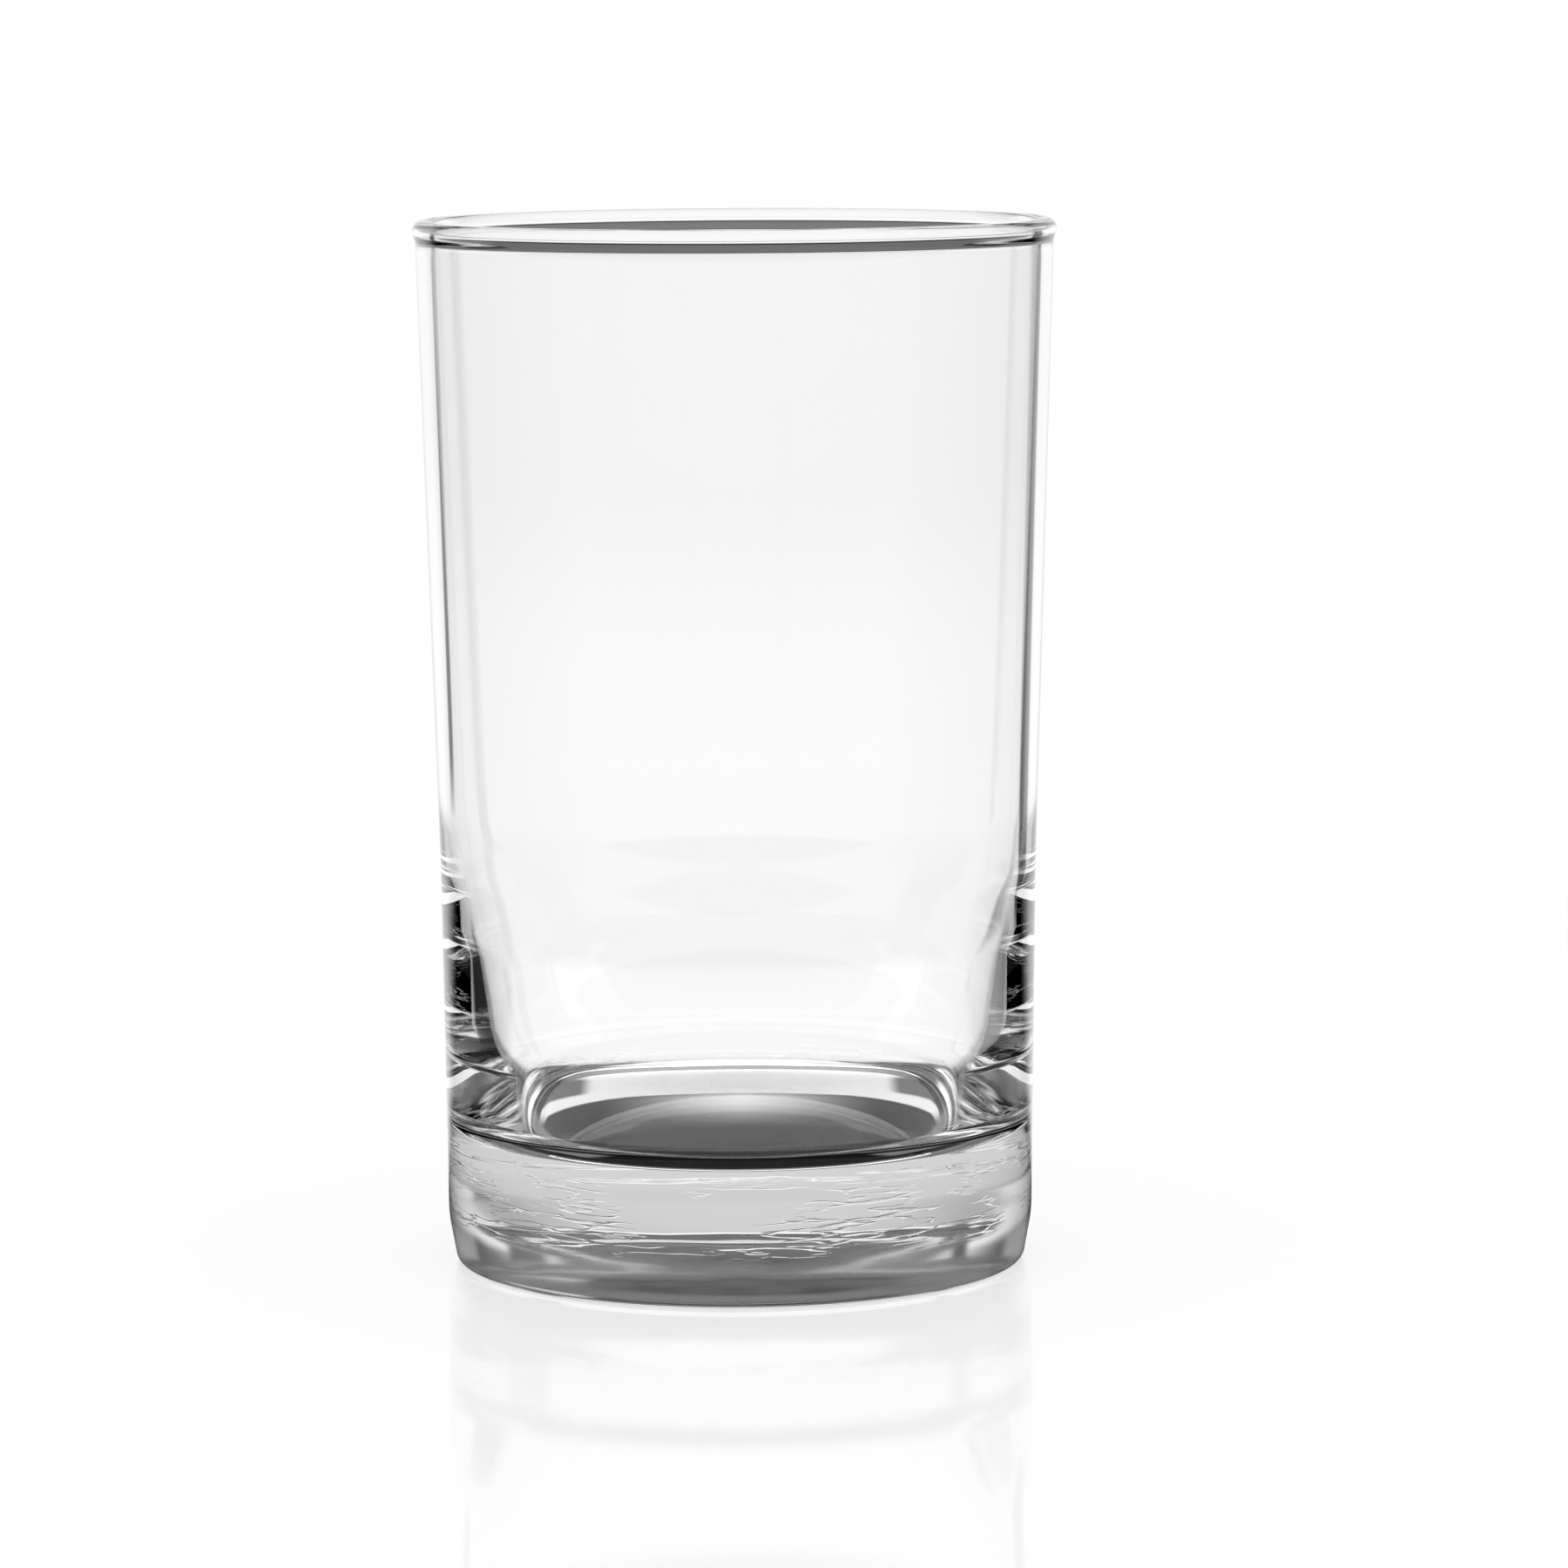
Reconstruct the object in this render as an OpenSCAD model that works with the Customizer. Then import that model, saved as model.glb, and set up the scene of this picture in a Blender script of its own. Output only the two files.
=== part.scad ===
// Heavy-base juice glass.
// One piece of clear glass, turned about the vertical axis: a beaded rim, a thin wall that
// widens upwards, a cavity that closes like a bowl, and a thick solid base on a bearing ring.
// The origin is on the axis, in the plane of the table that the glass stands on.

/* [Overall] */
// Height from the table to the top of the rim
glass_height = 98.4; // [85:0.1:125]
// Diameter over the bead of the rim
rim_diameter = 60.3; // [59:0.1:68]
// Diameter of the foot, just above its heel
foot_diameter = 55.4; // [50:0.1:56]

/* [Wall] */
// Thickness of the wall under the bead
rim_wall = 1.4; // [1.2:0.05:1.6]
// Height of the waist, where the steeper upper taper starts
waist_height = 39; // [34:0.5:50]
// Outside diameter of the waist
waist_diameter = 56.3; // [56:0.1:58]
// Radius that blends the two tapers outside
waist_blend = 500; // [100:10:800]

/* [Rim bead] */
// Thickness of the bead, from its outside to its inside
bead_thickness = 2; // [1.9:0.05:2.4]
// Height of the rounded crown of the bead
bead_crown = 1; // [0.8:0.05:1.6]
// Height of the skirt that runs from the crown down into the wall
bead_skirt = 1.2; // [0.8:0.1:3]
// How far the bead stands out past the wall
bead_overhang = 0.25; // [0.1:0.05:0.35]

/* [Base] */
// Thickness of the solid base, from the table to the floor of the cavity
base_thickness = 12; // [9:0.5:15]
// Height of the heel, which draws in under the foot
heel_height = 4.4; // [3:0.1:6]
// How far the heel draws in
heel_inset = 0.8; // [0.4:0.05:1.5]
// Radius where the wall turns into the heel
heel_blend = 12; // [4:0.5:16]
// Radius of the toe, where the heel turns under the glass
toe_radius = 0.9; // [0.4:0.05:1]
// Width of the flat bearing ring with its rounded edges
bearing_width = 3.8; // [3.4:0.1:5]
// Depth of the hollow under the base
hollow_depth = 0.3; // [0.2:0.05:0.4]
// Width of the slope from the bearing ring up to the roof of the hollow
hollow_slope = 12; // [10:0.5:16]
// Radius of the two turns of that slope
hollow_blend = 100; // [40:5:110]

/* [Cavity] */
// Height of the shoulder, where the cavity starts to close
shoulder_height = 37; // [33:0.5:42]
// Thickness of the wall at the shoulder
shoulder_wall = 1.7; // [1.5:0.05:2.5]
// Radius that blends the wall into the upper side of the bowl
shoulder_blend = 100; // [40:5:120]
// Diameter at which the upper side of the bowl gives way to its lower side
bowl_diameter = 48.4; // [47:0.2:51]
// Height of that place above the floor of the cavity
bowl_height = 9.6; // [8:0.2:12]
// Radius that blends the two sides of the bowl
bowl_blend = 30; // [10:1:40]
// Diameter of the floor, measured to its corner
floor_diameter = 43.8; // [40:0.2:45]
// Radius of the corner between the bowl and the floor
floor_blend = 3.5; // [2:0.25:4]

/* [Hidden] */
$fn = 180;
glass_tint = [0.86, 0.88, 0.88, 0.45];
// Largest turn between two points of an arc, and the number of points along a skirt
arc_step = 6;
skirt_steps = 6;
crown_steps = 18;
// Radii that follow from the diameters
rim_r = rim_diameter / 2;
foot_r = foot_diameter / 2;
waist_r = waist_diameter / 2;
bowl_r = bowl_diameter / 2;
floor_r = floor_diameter / 2;
// The bead's crown stands on this height, and its section is centred on this radius
crown_base = glass_height - bead_crown;
bead_centre = rim_r - bead_thickness / 2;
// Radii of the wall's two faces, carried on up to the crown's base
outer_top_r = rim_r - bead_overhang;
inner_top_r = outer_top_r - rim_wall;
bead_inset = bead_thickness - bead_overhang - rim_wall;
// The bearing ring runs from the toe in to the slope of the hollow
toe_r = foot_r - heel_inset;
ring_r = toe_r - bearing_width;
roof_r = ring_r - hollow_slope;

// Radius at height z on the straight line through two points of the section
function radius_on(low, high, z) = low.x + (high.x - low.x) * (z - low.y) / (high.y - low.y);

foot = [foot_r, heel_height];
waist = [waist_r, waist_height];
outer_top = [outer_top_r, crown_base];
shoulder = [radius_on(foot, waist, shoulder_height) - shoulder_wall, shoulder_height];
inner_top = [inner_top_r, crown_base];

function unit(v) = v / norm(v);
function turned(v, a) = [v.x * cos(a) - v.y * sin(a), v.x * sin(a) + v.y * cos(a)];

// Points of the arc of the given radius that rounds the corner between its two neighbours
function rounded(before, corner, after, radius) =
    let (
        back = unit(before - corner),
        ahead = unit(after - corner),
        half = acos(back * ahead) / 2,
        centre = corner + unit(back + ahead) * radius / sin(half),
        spoke = corner + back * radius / tan(half) - centre,
        side = cross(back, ahead) > 0 ? -1 : 1,
        sweep = side * (180 - 2 * half),
        steps = max(2, ceil(abs(sweep) / arc_step))
    )
    [for (i = [0 : steps]) centre + turned(spoke, sweep * i / steps)];

// Each corner is [point, radius of its rounding]. The first and last stay sharp.
function with_rounded(corners) = [
    each [corners[0][0]],
    for (i = [1 : len(corners) - 2])
        each rounded(corners[i - 1][0], corners[i][0], corners[i + 1][0], corners[i][1]),
    each [corners[len(corners) - 1][0]]
];

// Underside, heel and outer wall, from the middle of the hollow up to the bead's skirt
function outside() = with_rounded([
    [[0, hollow_depth], 0],
    [[roof_r, hollow_depth], hollow_blend],
    [[ring_r, 0], hollow_blend],
    [[toe_r, 0], toe_radius],
    [foot, heel_blend],
    [waist, waist_blend],
    [skirt_point(waist, outer_top, bead_overhang, 1), 0]
]);

// A skirt leaves the wall gently and reaches its full reach under the crown, where t is 0
function skirt_point(low, high, reach, t) =
    let (z = crown_base - bead_skirt * t)
    [radius_on(low, high, z) + reach * (1 + cos(180 * t)) / 2, z];

// The bead: a skirt out of the wall, half an ellipse over the top, and a skirt back in
function bead() = [
    for (i = [1 : skirt_steps]) skirt_point(waist, outer_top, bead_overhang, 1 - i / skirt_steps),
    for (i = [1 : crown_steps - 1]) let (a = 180 * i / crown_steps)
        [bead_centre + bead_thickness / 2 * cos(a), crown_base + bead_crown * sin(a)],
    for (i = [0 : skirt_steps - 1]) skirt_point(shoulder, inner_top, -bead_inset, i / skirt_steps)
];

// Inner wall, bowl and floor, from the bead's skirt down to the middle of the floor
function inside() = with_rounded([
    [skirt_point(shoulder, inner_top, -bead_inset, 1), 0],
    [shoulder, shoulder_blend],
    [[bowl_r, base_thickness + bowl_height], bowl_blend],
    [[floor_r, base_thickness], floor_blend],
    [[0, base_thickness], 0]
]);

module tumbler() {
    color(glass_tint)
        rotate_extrude()
            polygon(concat(outside(), bead(), inside()));
}

tumbler();
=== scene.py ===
"""A heavy-base juice glass on a pale table, in soft studio light.

The glass is one closed surface turned about the vertical axis. Its section runs from the middle of the
hollow under the base, round the heel and up the outside, over the bead and down the inside to the middle
of the cavity's floor. All lengths are metres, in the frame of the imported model.
"""

import math

import bpy
import numpy as np
from bpy.props import FloatProperty, PointerProperty
from bpy.types import Operator, Panel, PropertyGroup
from mathutils import Matrix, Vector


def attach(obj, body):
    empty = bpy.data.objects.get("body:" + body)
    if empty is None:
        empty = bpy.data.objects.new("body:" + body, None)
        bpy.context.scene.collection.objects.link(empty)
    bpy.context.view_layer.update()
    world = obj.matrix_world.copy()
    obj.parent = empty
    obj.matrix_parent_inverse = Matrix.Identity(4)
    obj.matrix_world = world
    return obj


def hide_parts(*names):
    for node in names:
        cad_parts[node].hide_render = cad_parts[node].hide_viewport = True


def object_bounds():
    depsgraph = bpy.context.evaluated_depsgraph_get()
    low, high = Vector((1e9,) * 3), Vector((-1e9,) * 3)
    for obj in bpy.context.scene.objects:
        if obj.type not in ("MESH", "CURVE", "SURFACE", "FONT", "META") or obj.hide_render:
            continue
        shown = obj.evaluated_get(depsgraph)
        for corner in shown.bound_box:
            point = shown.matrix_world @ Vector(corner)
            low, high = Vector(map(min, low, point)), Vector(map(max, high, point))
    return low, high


bl_info = {
    "name": "Juice Glass",
    "version": (1, 0, 0),
    "blender": (4, 5, 0),
    "location": "View3D > Sidebar > Juice Glass",
    "description": "Builds a heavy-base juice glass and a plain studio round it",
    "category": "Add Mesh",
}

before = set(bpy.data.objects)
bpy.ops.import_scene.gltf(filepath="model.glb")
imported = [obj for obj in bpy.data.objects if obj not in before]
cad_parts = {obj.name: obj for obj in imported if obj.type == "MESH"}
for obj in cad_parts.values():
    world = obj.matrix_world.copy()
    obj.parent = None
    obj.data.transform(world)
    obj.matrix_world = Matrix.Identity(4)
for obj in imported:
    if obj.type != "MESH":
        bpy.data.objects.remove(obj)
cad_low, cad_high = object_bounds()
MM = 0.001
HALF_TURN = 180.0
DEGREE = math.pi / HALF_TURN

# Fineness of the glass's surface
SKIRT_POINTS = 16
CROWN_POINTS = 50
POINTS_ROUND = 256
ARC_STEP = 2.5 * DEGREE
LONGEST_STRETCH = 1.2 * MM

# Ray bounces that clear glass with a thick base needs
BOUNCES = {"max_bounces": 20, "transmission_bounces": 16, "glossy_bounces": 12}

# Wrinkles and waves on the side of the base: cycles per metre round the glass and up it, and noise detail
CREASES = (130.0, 1300.0, 1.5)
CREASE_PATCHES = (90.0, 260.0, 1.0)
WAVES = (130.0, 330.0, 1.0)
RELIEF_DEPTH = 0.04 * MM
CREASE_SHARE = 0.6
WAVE_SHARE = 0.9
# The middle of a noise, how far from it a crease reaches, and where a patch of creases starts and is full
NOISE_MIDDLE = 0.5
CREASE_WIDTH = 0.045
PATCH_EDGE = (0.42, 0.6)
# Radii and heights over which the relief and the roughness start or end
SIDE_EDGE = (26.2 * MM, 26.8 * MM)
SIDE_FOOT = (4.5 * MM, 6 * MM)
SIDE_TOP = (10.5 * MM, 12.5 * MM)
HEEL_EDGE = (24.5 * MM, 25.5 * MM)
WAVES_TOP = (5 * MM, 9 * MM)
UNDERSIDE_TOP = (0.4 * MM, 1.2 * MM)
HEEL_TOP = (3.5 * MM, 7.5 * MM)
UNDERSIDE_ROUGHNESS = 0.03
HEEL_ROUGHNESS = 0.1

# Spans of direction, in degrees: the middle, half the width, and the softness of each edge.
# A direction is 0 along +Y, which is away from the camera, and grows towards +X.
LEFT_GAP = (-37.2, 2.4, 1.2)
RIGHT_GAP = (36.0, 5.5, 1.5)
SIDES = (82.0, 26.0, 10.0)
REAR_HALF = (0.0, 86.0, 8.0)
REAR_MIDDLE = (0.0, 18.0, 6.0)
REAR_CEILING = (0.0, 54.0, 6.0)
SIDE_CORNERS = (68.0, 11.0, 3.0)
SLOT_SPAN = (0.0, 24.0, 5.0)
LAMP_SPAN = (33.0, 10.0, 3.0)
MIRRORED_SPAN = (0.0, 38.0, 8.0)
# Heights above the horizon, in degrees, over which a part of the room starts or ends
GRAZING_START, GRAZING_END = (-13.0, -11.0), (-2.5, -1.5)
GRAZING_DIM = (-5.0, -3.0)
FRONT_START = (1.5, 3.0)
SWEEP_END = (-1.0, 2.5)
SWEEP_RISE = 2.5
CORNERS_END = (11.0, 14.0)
SLOT_START, SLOT_END = (7.8, 8.6), (10.9, 11.4)
LAMP_START, LAMP_END = (7.0, 8.5), (9.5, 10.8)
TOP_START = (27.0, 34.0)
ROUND_MIRRORED_END = (10.0, 14.0)
MIRRORED_END = (18.0, 24.0)
# Levels of light, where 1 is white, and shares of it that are taken away
SWEEP_LEVEL = 1.06
LEFT_GAP_LOSS, RIGHT_GAP_LOSS, SIDES_LOSS = 0.93, 0.85, 0.15
GRAZING_LEVEL, GRAZING_GAIN = 0.45, 0.22
FRONT_GRAZING_LOSS, FRONT_LOSS = 0.9, 0.97
CEILING_LEVEL, REAR_CEILING_GAIN, CORNERS_GAIN = 0.01, 0.16, 0.35
SLOT_LOSS = 0.9
TOP_LEVEL = 0.25
LAMP_LEVEL = 0.9

# The painted pool of light and shade on the table under the glass, seen only through it. Places are metres
# from the glass's axis.
POOL_HALF_WIDTH = 22.5 * MM
POOL_HALF_DEPTH = 12.8 * MM
# Distances from the pool's middle, as shares of the way to its edge
POOL_EDGE_SHARES = (0.985, 1.015)
POOL_RIM_SHARES = (0.9, 0.98)
WEDGE_SHARES = (1.12, 1.17)
POOL_LEVEL, POOL_SIDE_LOSS, POOL_RIM_LOSS = 1.15, 0.97, 0.3
POOL_BACK, POOL_SIDE = (1.5 * MM, 11.5 * MM), (-2 * MM, 15.5 * MM)
# Levels of the painted rim and its gain at the back, the grey wedges, and the painted shade under the glass
RIM_LEVEL, RIM_BACK_GAIN, WEDGE_LEVEL, UNDER_LEVEL = 1.4, 0.4, 0.2, 0.01
RIM_START, RIM_BACK = (1 * MM, 6 * MM), (15 * MM, 22 * MM)
WEDGE_SIDE, WEDGE_BACK = (15.5 * MM, 17.5 * MM), (15.5 * MM, 17.5 * MM)
# Where the painted shadow of the bearing ring falls, as radii from the axis, and how much it darkens
CONTACT_START, CONTACT_END = (23.9 * MM, 24.4 * MM), (26.4 * MM, 26.8 * MM)
CONTACT_LOSS = 0.9

# What the table shows through the glass outside the foot
FOOT_END = (28 * MM, 30 * MM)
# A painted dark patch of shade on the table at each side of the glass, seen only through it, greyer on the
# right
PAINTED_FLAG_SLANT = 0.52
PAINTED_FLAG_EDGE = (21 * MM, 31 * MM)
PAINTED_FLAG_DIRECTION = (48.0, 58.0)
PAINTED_FLAG_END, PAINTED_FLAG_BACK = (70 * MM, 100 * MM), (0.0, 10 * MM)
PAINTED_FLAG_LEVEL, PAINTED_FLAG_RIGHT_GAIN = 0.03, 0.4
PAINTED_FLAG_RIGHT, PAINTED_FLAG_RIGHT_START = (0.0, 10 * MM), (36 * MM, 42 * MM)
NEAR_END, FAR_START, GAP_START = (200 * MM, 260 * MM), (450 * MM, 900 * MM), (260 * MM, 360 * MM)
BEYOND_LEVEL, NEAR_LOSS, FAR_LOSS = 0.95, 0.02, 0.06
RING_END = (80 * MM, 95 * MM)
TABLE_FADE = (120 * MM, 300 * MM)
TABLE_GLOW, TABLE_SHADE = 0.75, 0.28
TABLE_COAT_ROUGHNESS, TABLE_COAT_INDEX = 0.05, 1.12


class Socket:
    """Wraps a shader socket, so that sums of sockets and numbers add Math nodes."""

    def __init__(self, shader, socket):
        self.shader = shader
        self.socket = socket

    def _math(self, operation, *values):
        return self.shader.add("ShaderNodeMath", {"operation": operation}, dict(enumerate(values)))[0]

    def __add__(self, other):
        return self._math("ADD", self, other)

    def __sub__(self, other):
        return self._math("SUBTRACT", self, other)

    def __mul__(self, other):
        return self._math("MULTIPLY", self, other)

    def __truediv__(self, other):
        return self._math("DIVIDE", self, other)

    def __mod__(self, other):
        return self._math("FLOORED_MODULO", self, other)

    def __radd__(self, other):
        return self._math("ADD", other, self)

    def __rsub__(self, other):
        return self._math("SUBTRACT", other, self)

    def __rmul__(self, other):
        return self._math("MULTIPLY", other, self)

    def power(self, exponent):
        return self._math("POWER", self, exponent)

    def arctan2(self, other):
        return self._math("ARCTAN2", self, other)

    def absolute(self):
        return self._math("ABSOLUTE", self)

    def arcsine(self):
        return self._math("ARCSINE", self)

    def larger(self, other):
        return self._math("MAXIMUM", self, other)

    def step(self, low, high):
        """0 at low and below, 1 at high and above, and a smooth rise between them."""
        values = {"Value": self, "From Min": low, "From Max": high}
        return self.shader.add("ShaderNodeMapRange", {"interpolation_type": "SMOOTHSTEP"}, values)[0]

    def between(self, start, end):
        """1 between the two, each of which is a (low, high) pair for step."""
        return self.step(*start) * (1 - self.step(*end))


class Shader:
    """Builds the node tree of a material or a world."""

    def __init__(self, owner):
        owner.use_nodes = True
        self.tree = owner.node_tree
        self.tree.nodes.clear()

    def add(self, kind, settings=None, inputs=None):
        """Adds a node, sets its settings, then its sockets' values or links, and returns its outputs."""
        node = self.tree.nodes.new(kind)
        for name, value in (settings or {}).items():
            setattr(node, name, value)
        for name, value in (inputs or {}).items():
            if isinstance(value, Socket):
                self.tree.links.new(value.socket, node.inputs[name])
            else:
                node.inputs[name].default_value = value
        return [Socket(self, output) for output in node.outputs]

    def rays(self):
        """1 or 0 each: rays that come through the glass, and rays off a mirroring surface."""
        kinds = {output.socket.name: output for output in self.add("ShaderNodeLightPath")}
        through = kinds["Is Transmission Ray"]
        return through, kinds["Is Glossy Ray"] * (1 - through)

    def coordinates(self, name):
        """X, Y and Z of the texture coordinates of that name."""
        vector = next(output for output in self.add("ShaderNodeTexCoord") if output.socket.name == name)
        return self.add("ShaderNodeSeparateXYZ", None, {"Vector": vector})

    def noise(self, place, cycles_round, cycles_up, detail):
        """Noise of that many cycles per metre, level and upright."""
        x, y, z = place
        stretched = self.add("ShaderNodeCombineXYZ", None, {
            "X": x * cycles_round,
            "Y": y * cycles_round,
            "Z": z * cycles_up,
        })[0]
        return self.add("ShaderNodeTexNoise", None, {"Vector": stretched, "Scale": 1.0, "Detail": detail})[0]

    def output(self, kind, surface):
        self.add(kind, None, {"Surface": surface})


def length(name, description, default):
    return FloatProperty(name=name, description=description, default=default, min=0.0,
                         subtype="DISTANCE", unit="LENGTH", precision=5)


def angle(name, description, degrees):
    return FloatProperty(name=name, description=description, default=degrees * DEGREE,
                         subtype="ANGLE", unit="ROTATION", precision=5)


class GlassSizes(PropertyGroup):
    """Sizes of the glass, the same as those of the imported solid."""

    height: length("Height", "From the table to the top of the rim", cad_high.z)
    rim_diameter: length("Rim", "Diameter over the bead", cad_high.x - cad_low.x)
    foot_diameter: length("Foot", "Diameter just above the heel", 55.4 * MM)
    rim_wall: length("Rim wall", "Thickness of the wall under the bead", 1.4 * MM)
    waist_height: length("Waist height", "Where the steeper upper taper starts", 39 * MM)
    waist_diameter: length("Waist", "Outside diameter at the waist", 56.3 * MM)
    waist_blend: length("Waist blend", "Radius that blends the two tapers", 500 * MM)
    bead_thickness: length("Bead thickness", "From the bead's outside to its inside", 2 * MM)
    bead_crown: length("Bead crown", "Height of the bead's rounded crown", 1 * MM)
    bead_skirt: length("Bead skirt", "Height of the skirt under the crown", 1.2 * MM)
    bead_overhang: length("Bead overhang", "How far the bead stands out past the wall", 0.25 * MM)
    base_thickness: length("Base", "From the table to the floor of the cavity", 12 * MM)
    heel_height: length("Heel height", "Height over which the foot draws in", 4.4 * MM)
    heel_inset: length("Heel inset", "How far the heel draws in", 0.8 * MM)
    heel_blend: length("Heel blend", "Radius where the wall turns into the heel", 12 * MM)
    toe_radius: length("Toe", "Radius where the heel turns under the glass", 0.9 * MM)
    bearing_width: length("Bearing ring", "Width of the bearing ring", 3.8 * MM)
    hollow_depth: length("Hollow", "Depth of the hollow under the base", 0.3 * MM)
    hollow_slope: length("Hollow slope", "Width of the slope up to the hollow's roof", 12 * MM)
    hollow_blend: length("Hollow blend", "Radius of the two turns of that slope", 100 * MM)
    shoulder_height: length("Shoulder height", "Where the cavity starts to close", 37 * MM)
    shoulder_wall: length("Shoulder wall", "Thickness of the wall at the shoulder", 1.7 * MM)
    shoulder_blend: length("Shoulder blend", "Radius between the wall and the bowl", 100 * MM)
    bowl_diameter: length("Bowl", "Diameter at which the bowl's side gets flatter", 48.4 * MM)
    bowl_height: length("Bowl height", "Height of that place above the floor", 9.6 * MM)
    bowl_blend: length("Bowl blend", "Radius that blends the two sides of the bowl", 30 * MM)
    floor_diameter: length("Floor", "Diameter of the floor of the cavity", 43.8 * MM)
    floor_blend: length("Floor blend", "Radius between the bowl and the floor", 3.5 * MM)
    index: FloatProperty(name="Index", description="Refractive index of the glass", default=1.52)


class StudioSettings(PropertyGroup):
    """The camera and the reach of the table."""

    lens: FloatProperty(name="Lens", description="Focal length in mm", default=150.0)
    sensor: FloatProperty(name="Sensor", description="Width of the sensor in mm", default=36.0)
    distance: length("Distance", "From the glass's axis to the camera, level", 613 * MM)
    above_rim: length("Above the rim", "Height of the camera over the rim", 21.4 * MM)
    yaw: angle("Yaw", "Turn of the camera to the left", -0.408)
    pitch: angle("Pitch", "Tilt of the camera downwards", 6.95)
    roll: angle("Roll", "Turn of the camera round its own axis", -0.3)
    table_reach: length("Table", "From the glass's axis to each side of the table", 6.0)


def unit(v):
    return v / np.linalg.norm(v)


def rounded(before, corner, after, radius, step):
    """Points of the arc of that radius which touches both sides of a corner.

    Its centre lies on the corner's bisector, at radius / sin(half the angle), and it sweeps what the
    angle leaves of a half turn.
    """
    back, ahead = unit(before - corner), unit(after - corner)
    half = math.acos(np.clip(back @ ahead, -1, 1)) / 2
    centre = corner + unit(back + ahead) * radius / math.sin(half)
    spoke = corner + back * radius / math.tan(half) - centre
    side = -1 if back[0] * ahead[1] - back[1] * ahead[0] > 0 else 1
    sweep = side * (math.pi - 2 * half)
    turn = np.linspace(0, sweep, max(3, math.ceil(abs(sweep) / step)))
    x = spoke[0] * np.cos(turn) - spoke[1] * np.sin(turn)
    y = spoke[0] * np.sin(turn) + spoke[1] * np.cos(turn)
    return centre + np.stack([x, y], 1)


def with_rounded(corners):
    """The line through corners of (radius, height, rounding), each rounded but the two ends."""
    points = [np.array(c[:2]) for c in corners]
    run = [points[0][None]]
    for i in range(1, len(points) - 1):
        run.append(rounded(points[i - 1], points[i], points[i + 1], corners[i][2], ARC_STEP))
    return np.concatenate([*run, points[-1][None]])


def split_long(points, longest):
    """The same line, with more points on every stretch that is longer than that."""
    gaps = np.linalg.norm(np.diff(points, axis=0), axis=1)
    parts = [np.linspace(a, b, max(2, math.ceil(g / longest) + 1))[:-1]
             for a, b, g in zip(points[:-1], points[1:], gaps)]
    return np.concatenate([*parts, points[-1:]])


def section(s):
    """The glass's section as (radius, height) points, from the hollow's middle to the floor's middle."""
    rim, foot, waist = s.rim_diameter / 2, s.foot_diameter / 2, s.waist_diameter / 2
    crown = s.height - s.bead_crown
    centre = rim - s.bead_thickness / 2
    outer_top = rim - s.bead_overhang
    inner_top = outer_top - s.rim_wall
    inset = s.bead_thickness - s.bead_overhang - s.rim_wall
    toe = foot - s.heel_inset
    ring = toe - s.bearing_width
    lower = np.interp(s.shoulder_height, [s.heel_height, s.waist_height], [foot, waist])
    shoulder = (lower - s.shoulder_wall, s.shoulder_height)

    def skirt(low, high, reach, t):
        """Leaves the wall gently and reaches its full reach under the crown, by half a cosine wave."""
        z = crown - s.bead_skirt * t
        r = low[0] + (high - low[0]) * (z - low[1]) / (crown - low[1])
        return np.stack([r + reach * (1 + np.cos(math.pi * t)) / 2, z], -1)

    down = np.linspace(0, 1, SKIRT_POINTS)
    over = np.linspace(0, math.pi, CROWN_POINTS)[1:-1]
    outer_skirt = skirt((waist, s.waist_height), outer_top, s.bead_overhang, down[::-1])
    inner_skirt = skirt(shoulder, inner_top, -inset, down)
    crown_arc = np.stack([centre + s.bead_thickness / 2 * np.cos(over),
                          crown + s.bead_crown * np.sin(over)], 1)
    outside = with_rounded([
        (0, s.hollow_depth),
        (ring - s.hollow_slope, s.hollow_depth, s.hollow_blend),
        (ring, 0, s.hollow_blend),
        (toe, 0, s.toe_radius),
        (foot, s.heel_height, s.heel_blend),
        (waist, s.waist_height, s.waist_blend),
        tuple(outer_skirt[0]),
    ])
    inside = with_rounded([
        tuple(inner_skirt[-1]),
        (*shoulder, s.shoulder_blend),
        (s.bowl_diameter / 2, s.base_thickness + s.bowl_height, s.bowl_blend),
        (s.floor_diameter / 2, s.base_thickness, s.floor_blend),
        (0, s.base_thickness),
    ])
    line = np.concatenate([outside, outer_skirt[1:], crown_arc, inner_skirt[:-1], inside])
    return split_long(line, LONGEST_STRETCH)


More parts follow.
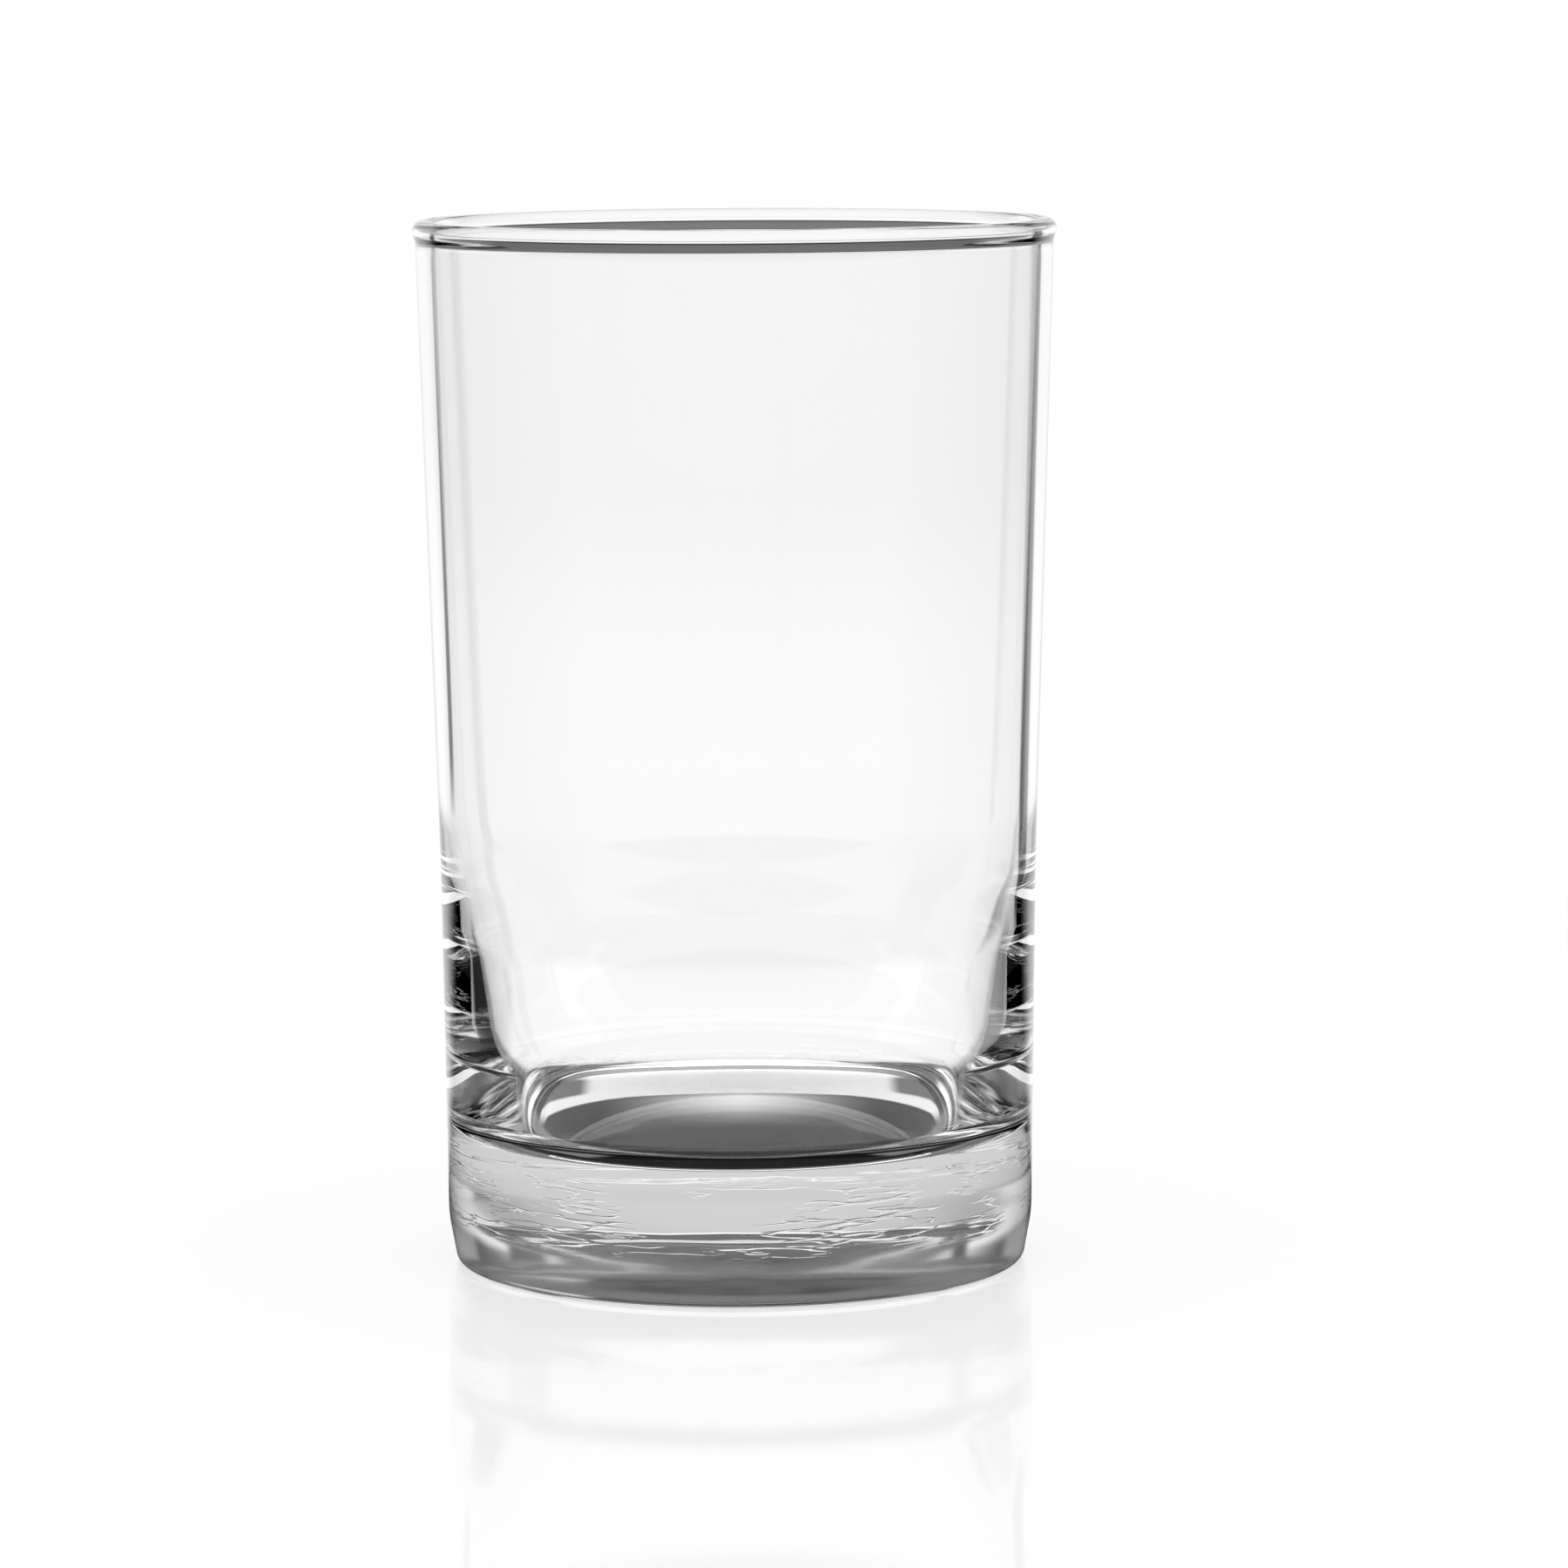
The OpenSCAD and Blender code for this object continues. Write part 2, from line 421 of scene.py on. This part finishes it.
def turned_mesh(name, line, around):
    """A closed solid turned from a section whose two ends lie on the axis.

    Point (i, j) is (r cos a, r sin a, z), with r and z from the section's point i and a = 2 pi j / around.
    Each end is one point, joined to its neighbours by a fan.
    """
    ring = line[1:-1]
    a = np.linspace(0, 2 * math.pi, around, endpoint=False)
    x = ring[:, 0, None] * np.cos(a)
    y = ring[:, 0, None] * np.sin(a)
    z = np.broadcast_to(ring[:, 1, None], x.shape)
    points = np.stack([x, y, z], -1).reshape(-1, 3)
    points = np.concatenate([points, [[0, 0, line[0, 1]], [0, 0, line[-1, 1]]]])
    count = len(ring)
    i, j = np.meshgrid(np.arange(count - 1), np.arange(around), indexing="ij")
    k = (j + 1) % around
    quads = np.stack([i * around + j, i * around + k, (i + 1) * around + k, (i + 1) * around + j], -1)
    first, last = count * around, count * around + 1
    j = np.arange(around)
    k = (j + 1) % around
    low_fan = np.stack([np.full(around, first), k, j], -1)
    top = (count - 1) * around
    high_fan = np.stack([np.full(around, last), top + j, top + k], -1)
    mesh = bpy.data.meshes.new(name)
    faces = [*quads.reshape(-1, 4).tolist(), *low_fan.tolist(), *high_fan.tolist()]
    mesh.from_pydata(points.tolist(), [], faces)
    mesh.polygons.foreach_set("use_smooth", np.ones(len(mesh.polygons), bool))
    mesh.update()
    return mesh


def compass(x, y):
    """Direction round the vertical axis in degrees, 0 along +Y and growing towards +X."""
    return x.arctan2(y) * (1 / DEGREE)


def from_axis(x, y):
    """Distance from the glass's axis, the root of x^2 + y^2."""
    return (x * x + y * y).power(0.5)


def glass_material(index):
    """Clear glass, a little rough underneath, with waves in the heel and level wrinkles above them.

    A wrinkle is where a noise that is stretched round the glass comes near its middle value, and a
    broader noise gathers the wrinkles in patches.
    """
    material = bpy.data.materials.new("clear_glass")
    shader = Shader(material)
    place = x, y, z = shader.coordinates("Object")
    radius = from_axis(x, y)
    side = radius.step(*SIDE_EDGE) * z.between(SIDE_FOOT, SIDE_TOP)
    heel = radius.step(*HEEL_EDGE)
    crease = 1 - (shader.noise(place, *CREASES) - NOISE_MIDDLE).absolute().step(0.0, CREASE_WIDTH)
    patch = shader.noise(place, *CREASE_PATCHES).step(*PATCH_EDGE)
    waves = shader.noise(place, *WAVES) * heel * (1 - z.step(*WAVES_TOP))
    relief = shader.add("ShaderNodeBump", None, {
        "Height": CREASE_SHARE * crease * patch * side + WAVE_SHARE * waves,
        "Strength": 1.0,
        "Distance": RELIEF_DEPTH,
    })[0]
    underside = UNDERSIDE_ROUGHNESS * (1 - z.step(*UNDERSIDE_TOP))
    body = shader.add("ShaderNodeBsdfPrincipled", None, {
        "Base Color": (1.0, 1.0, 1.0, 1.0),
        "Roughness": underside + HEEL_ROUGHNESS * (1 - z.step(*HEEL_TOP)) * heel,
        "IOR": index,
        "Transmission Weight": 1.0,
        "Normal": relief,
    })[0]
    shader.output("ShaderNodeOutputMaterial", body)
    return material


class GLASS_OT_tumbler(Operator):
    """Build the glass"""

    bl_idname = "glass.tumbler"
    bl_label = "Tumbler"

    def execute(self, context):
        s = context.scene.glass_sizes
        mesh = turned_mesh("juice_tumbler", section(s), POINTS_ROUND)
        mesh.materials.append(glass_material(s.index))
        glass = bpy.data.objects.new("juice_tumbler", mesh)
        context.scene.collection.objects.link(glass)
        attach(glass, "root")
        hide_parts("tumbler")
        return {"FINISHED"}


def facing(direction, middle, half, soft):
    """1 within half of a direction, in degrees round the vertical axis, with soft edges."""
    turn = (direction + (HALF_TURN - middle)) % (2 * HALF_TURN) - HALF_TURN
    return 1 - turn.absolute().step(half - soft, half + soft)


def sweep(direction, left_share=1.0):
    """The white sweep all round, dimmer at the sides, with the gap at each of its two rear corners."""
    left = facing(direction, *LEFT_GAP)
    right = facing(direction, *RIGHT_GAP)
    sides = facing(direction.absolute(), *SIDES)
    open_left = 1 - LEFT_GAP_LOSS * left_share * left
    return SWEEP_LEVEL * open_left * (1 - RIGHT_GAP_LOSS * right) * (1 - SIDES_LOSS * sides)


def ceiling_light(direction, elevation):
    """The dim ceiling: a little light at the rear and its corners, a dark slot, and more light overhead."""
    corners = facing(direction.absolute(), *SIDE_CORNERS) * (1 - elevation.step(*CORNERS_END))
    slot = facing(direction, *SLOT_SPAN) * elevation.between(SLOT_START, SLOT_END)
    low = CEILING_LEVEL + REAR_CEILING_GAIN * facing(direction, *REAR_CEILING) + CORNERS_GAIN * corners
    low = low * (1 - SLOT_LOSS * slot)
    return low + (TOP_LEVEL - low) * elevation.step(*TOP_START)


def sweep_light(direction, elevation):
    """The sweep down to the table: grey where it grazes the table, and dark in front of the glass."""
    front = 1 - facing(direction, *REAR_HALF)
    grazing = elevation.between(GRAZING_START, GRAZING_END)
    grey = GRAZING_LEVEL + GRAZING_GAIN * (1 - elevation.step(*GRAZING_DIM))
    grey = grey * (1 - FRONT_GRAZING_LOSS * front)
    light = sweep(direction) * (1 - grazing) + grey * grazing
    return light * (1 - FRONT_LOSS * front * elevation.step(*FRONT_START))


def studio_world():
    """White to the camera. Through the glass the room shows a white sweep under a dim ceiling."""
    world = bpy.data.worlds.new("studio")
    shader = Shader(world)
    x, y, z = shader.coordinates("Generated")
    direction = compass(x, y)
    elevation = z.arcsine() * (1 / DEGREE)
    rise = SWEEP_RISE + SWEEP_RISE * facing(direction, *REAR_MIDDLE)
    above = (elevation - rise).step(*SWEEP_END)
    lamp = LAMP_LEVEL * facing(direction, *LAMP_SPAN) * elevation.between(LAMP_START, LAMP_END)
    room = (1 - above) * sweep_light(direction, elevation) + above * ceiling_light(direction, elevation)
    low = 1 - elevation.step(*ROUND_MIRRORED_END)
    mirrored = facing(direction, *MIRRORED_SPAN).larger(low) * (1 - elevation.step(*MIRRORED_END))
    through, off = shader.rays()
    light = shader.add("ShaderNodeBackground", None, {
        "Color": (1.0, 1.0, 1.0, 1.0),
        "Strength": through * (room + lamp) + off * mirrored + (1 - through) * (1 - off),
    })[0]
    shader.output("ShaderNodeOutputWorld", light)
    return world


def painted_pool_light(x, y, away):
    """Painted light under the glass, where the base would gather it: an oval pool, brightest at its back, in
    a white rim.

    An ellipse's own measure, the root of (x / width)^2 + (y / depth)^2, tells inside from outside.
    """
    across = x.absolute()
    oval = ((x * x) / POOL_HALF_WIDTH ** 2 + (y * y) / POOL_HALF_DEPTH ** 2).power(0.5)
    inner = POOL_LEVEL * y.step(*POOL_BACK) * (1 - POOL_SIDE_LOSS * across.step(*POOL_SIDE))
    inner = inner * (1 - POOL_RIM_LOSS * oval.step(*POOL_RIM_SHARES))
    rim = (RIM_LEVEL + RIM_BACK_GAIN * y.step(*RIM_BACK)) * y.step(*RIM_START)
    wedge = across.step(*WEDGE_SIDE) * oval.step(*WEDGE_SHARES) * (1 - y.step(*WEDGE_BACK))
    rim = rim * (1 - wedge) + WEDGE_LEVEL * wedge
    # Painted shadow in a ring where the bearing ring stands on the table; the rest under the glass is
    # painted near black
    contact_shadow = away.between(CONTACT_START, CONTACT_END)
    outer = oval.step(*POOL_EDGE_SHARES)
    return UNDER_LEVEL + inner * (1 - outer) + rim * outer * (1 - CONTACT_LOSS * contact_shadow)


def table_material():
    """Pale and slightly glossy. It thins out to nothing away from the glass, so that it shows no edge.

    Seen through the glass, the table carries a painted pool of light under the base, shows the room in a
    ring round the foot, and carries on beyond that ring as the white sweep, with a painted dark patch of
    shade at each side of the glass.
    """
    material = bpy.data.materials.new("pale_table")
    shader = Shader(material)
    x, y, z = shader.coordinates("Object")
    away = from_axis(x, y)
    direction = compass(x, y)
    through, off = shader.rays()
    direct = (1 - through) * (1 - off)
    outside = away.step(*FOOT_END)
    # Painted shade: a dark patch on each side of the glass, seen only through it
    flank = x.absolute() - PAINTED_FLAG_SLANT * y
    painted_dark_flag = flank.step(*PAINTED_FLAG_EDGE).larger(direction.absolute().step(*PAINTED_FLAG_DIRECTION))
    painted_dark_flag = painted_dark_flag * (1 - away.step(*PAINTED_FLAG_END)) * y.step(*PAINTED_FLAG_BACK)
    shade = PAINTED_FLAG_LEVEL + PAINTED_FLAG_RIGHT_GAIN * x.step(*PAINTED_FLAG_RIGHT) * away.step(*PAINTED_FLAG_RIGHT_START)
    dimmed = BEYOND_LEVEL - NEAR_LOSS * (1 - away.step(*NEAR_END)) - FAR_LOSS * away.step(*FAR_START)
    beyond = sweep(direction, away.step(*GAP_START)) * dimmed
    beyond = beyond * (1 - painted_dark_flag) + shade * painted_dark_flag
    passed = painted_pool_light(x, y, away) * (1 - outside) + beyond * outside
    ring = outside * (1 - away.step(*RING_END)) * (1 - painted_dark_flag)
    board = shader.add("ShaderNodeBsdfPrincipled", None, {
        "Base Color": TABLE_SHADE * direct,
        "Roughness": 1.0,
        "Specular IOR Level": 0.0,
        "Coat Weight": direct,
        "Coat Roughness": TABLE_COAT_ROUGHNESS,
        "Coat IOR": TABLE_COAT_INDEX,
        "Emission Color": TABLE_GLOW * direct + through * passed + off * facing(direction, *MIRRORED_SPAN),
        "Emission Strength": 1.0,
        "Alpha": 1 - (through * ring).larger(direct * away.step(*TABLE_FADE)),
    })[0]
    shader.output("ShaderNodeOutputMaterial", board)
    return material


def table_object(reach):
    mesh = bpy.data.meshes.new("table")
    corners = [(-reach, -reach, 0), (reach, -reach, 0), (reach, reach, 0), (-reach, reach, 0)]
    mesh.from_pydata(corners, [], [(0, 1, 2, 3)])
    mesh.materials.append(table_material())
    return bpy.data.objects.new("table", mesh)


def camera_object(s, height):
    """The camera, at that height in front of the glass and turned by its yaw, pitch and roll."""
    camera = bpy.data.cameras.new("camera")
    camera.lens = s.lens
    camera.sensor_width = s.sensor
    eye = bpy.data.objects.new("camera", camera)
    look = (Matrix.Rotation(s.yaw, 3, "Z") @ Matrix.Rotation(math.pi / 2 - s.pitch, 3, "X")
            @ Matrix.Rotation(s.roll, 3, "Z"))
    eye.matrix_world = Matrix.Translation((0, -s.distance, height)) @ look.to_4x4()
    return eye


class GLASS_OT_studio(Operator):
    """Build the table, the light and the camera"""

    bl_idname = "glass.studio"
    bl_label = "Studio"

    def execute(self, context):
        scene = context.scene
        s = scene.studio_settings
        scene.world = studio_world()
        table = table_object(s.table_reach)
        scene.collection.objects.link(table)
        eye = camera_object(s, scene.glass_sizes.height + s.above_rim)
        scene.collection.objects.link(eye)
        scene.camera = eye
        scene.view_settings.view_transform = "Standard"
        for name, count in BOUNCES.items():
            setattr(scene.cycles, name, count)
        return {"FINISHED"}


class GLASS_PT_sidebar(Panel):
    """Lists the operators that build the glass and its studio"""

    bl_label = "Juice Glass"
    bl_space_type = "VIEW_3D"
    bl_region_type = "UI"
    bl_category = "Juice Glass"

    def draw(self, context):
        column = self.layout.column()
        for operator in (GLASS_OT_tumbler, GLASS_OT_studio):
            column.operator(operator.bl_idname)


CLASSES = (GlassSizes, StudioSettings, GLASS_OT_tumbler, GLASS_OT_studio, GLASS_PT_sidebar)


def register():
    for cls in CLASSES:
        bpy.utils.register_class(cls)
    bpy.types.Scene.glass_sizes = PointerProperty(type=GlassSizes)
    bpy.types.Scene.studio_settings = PointerProperty(type=StudioSettings)


def unregister():
    del bpy.types.Scene.studio_settings
    del bpy.types.Scene.glass_sizes
    for cls in reversed(CLASSES):
        bpy.utils.unregister_class(cls)


def main():
    register()
    bpy.ops.glass.tumbler()
    bpy.ops.glass.studio()


if __name__ == "__main__":
    main()
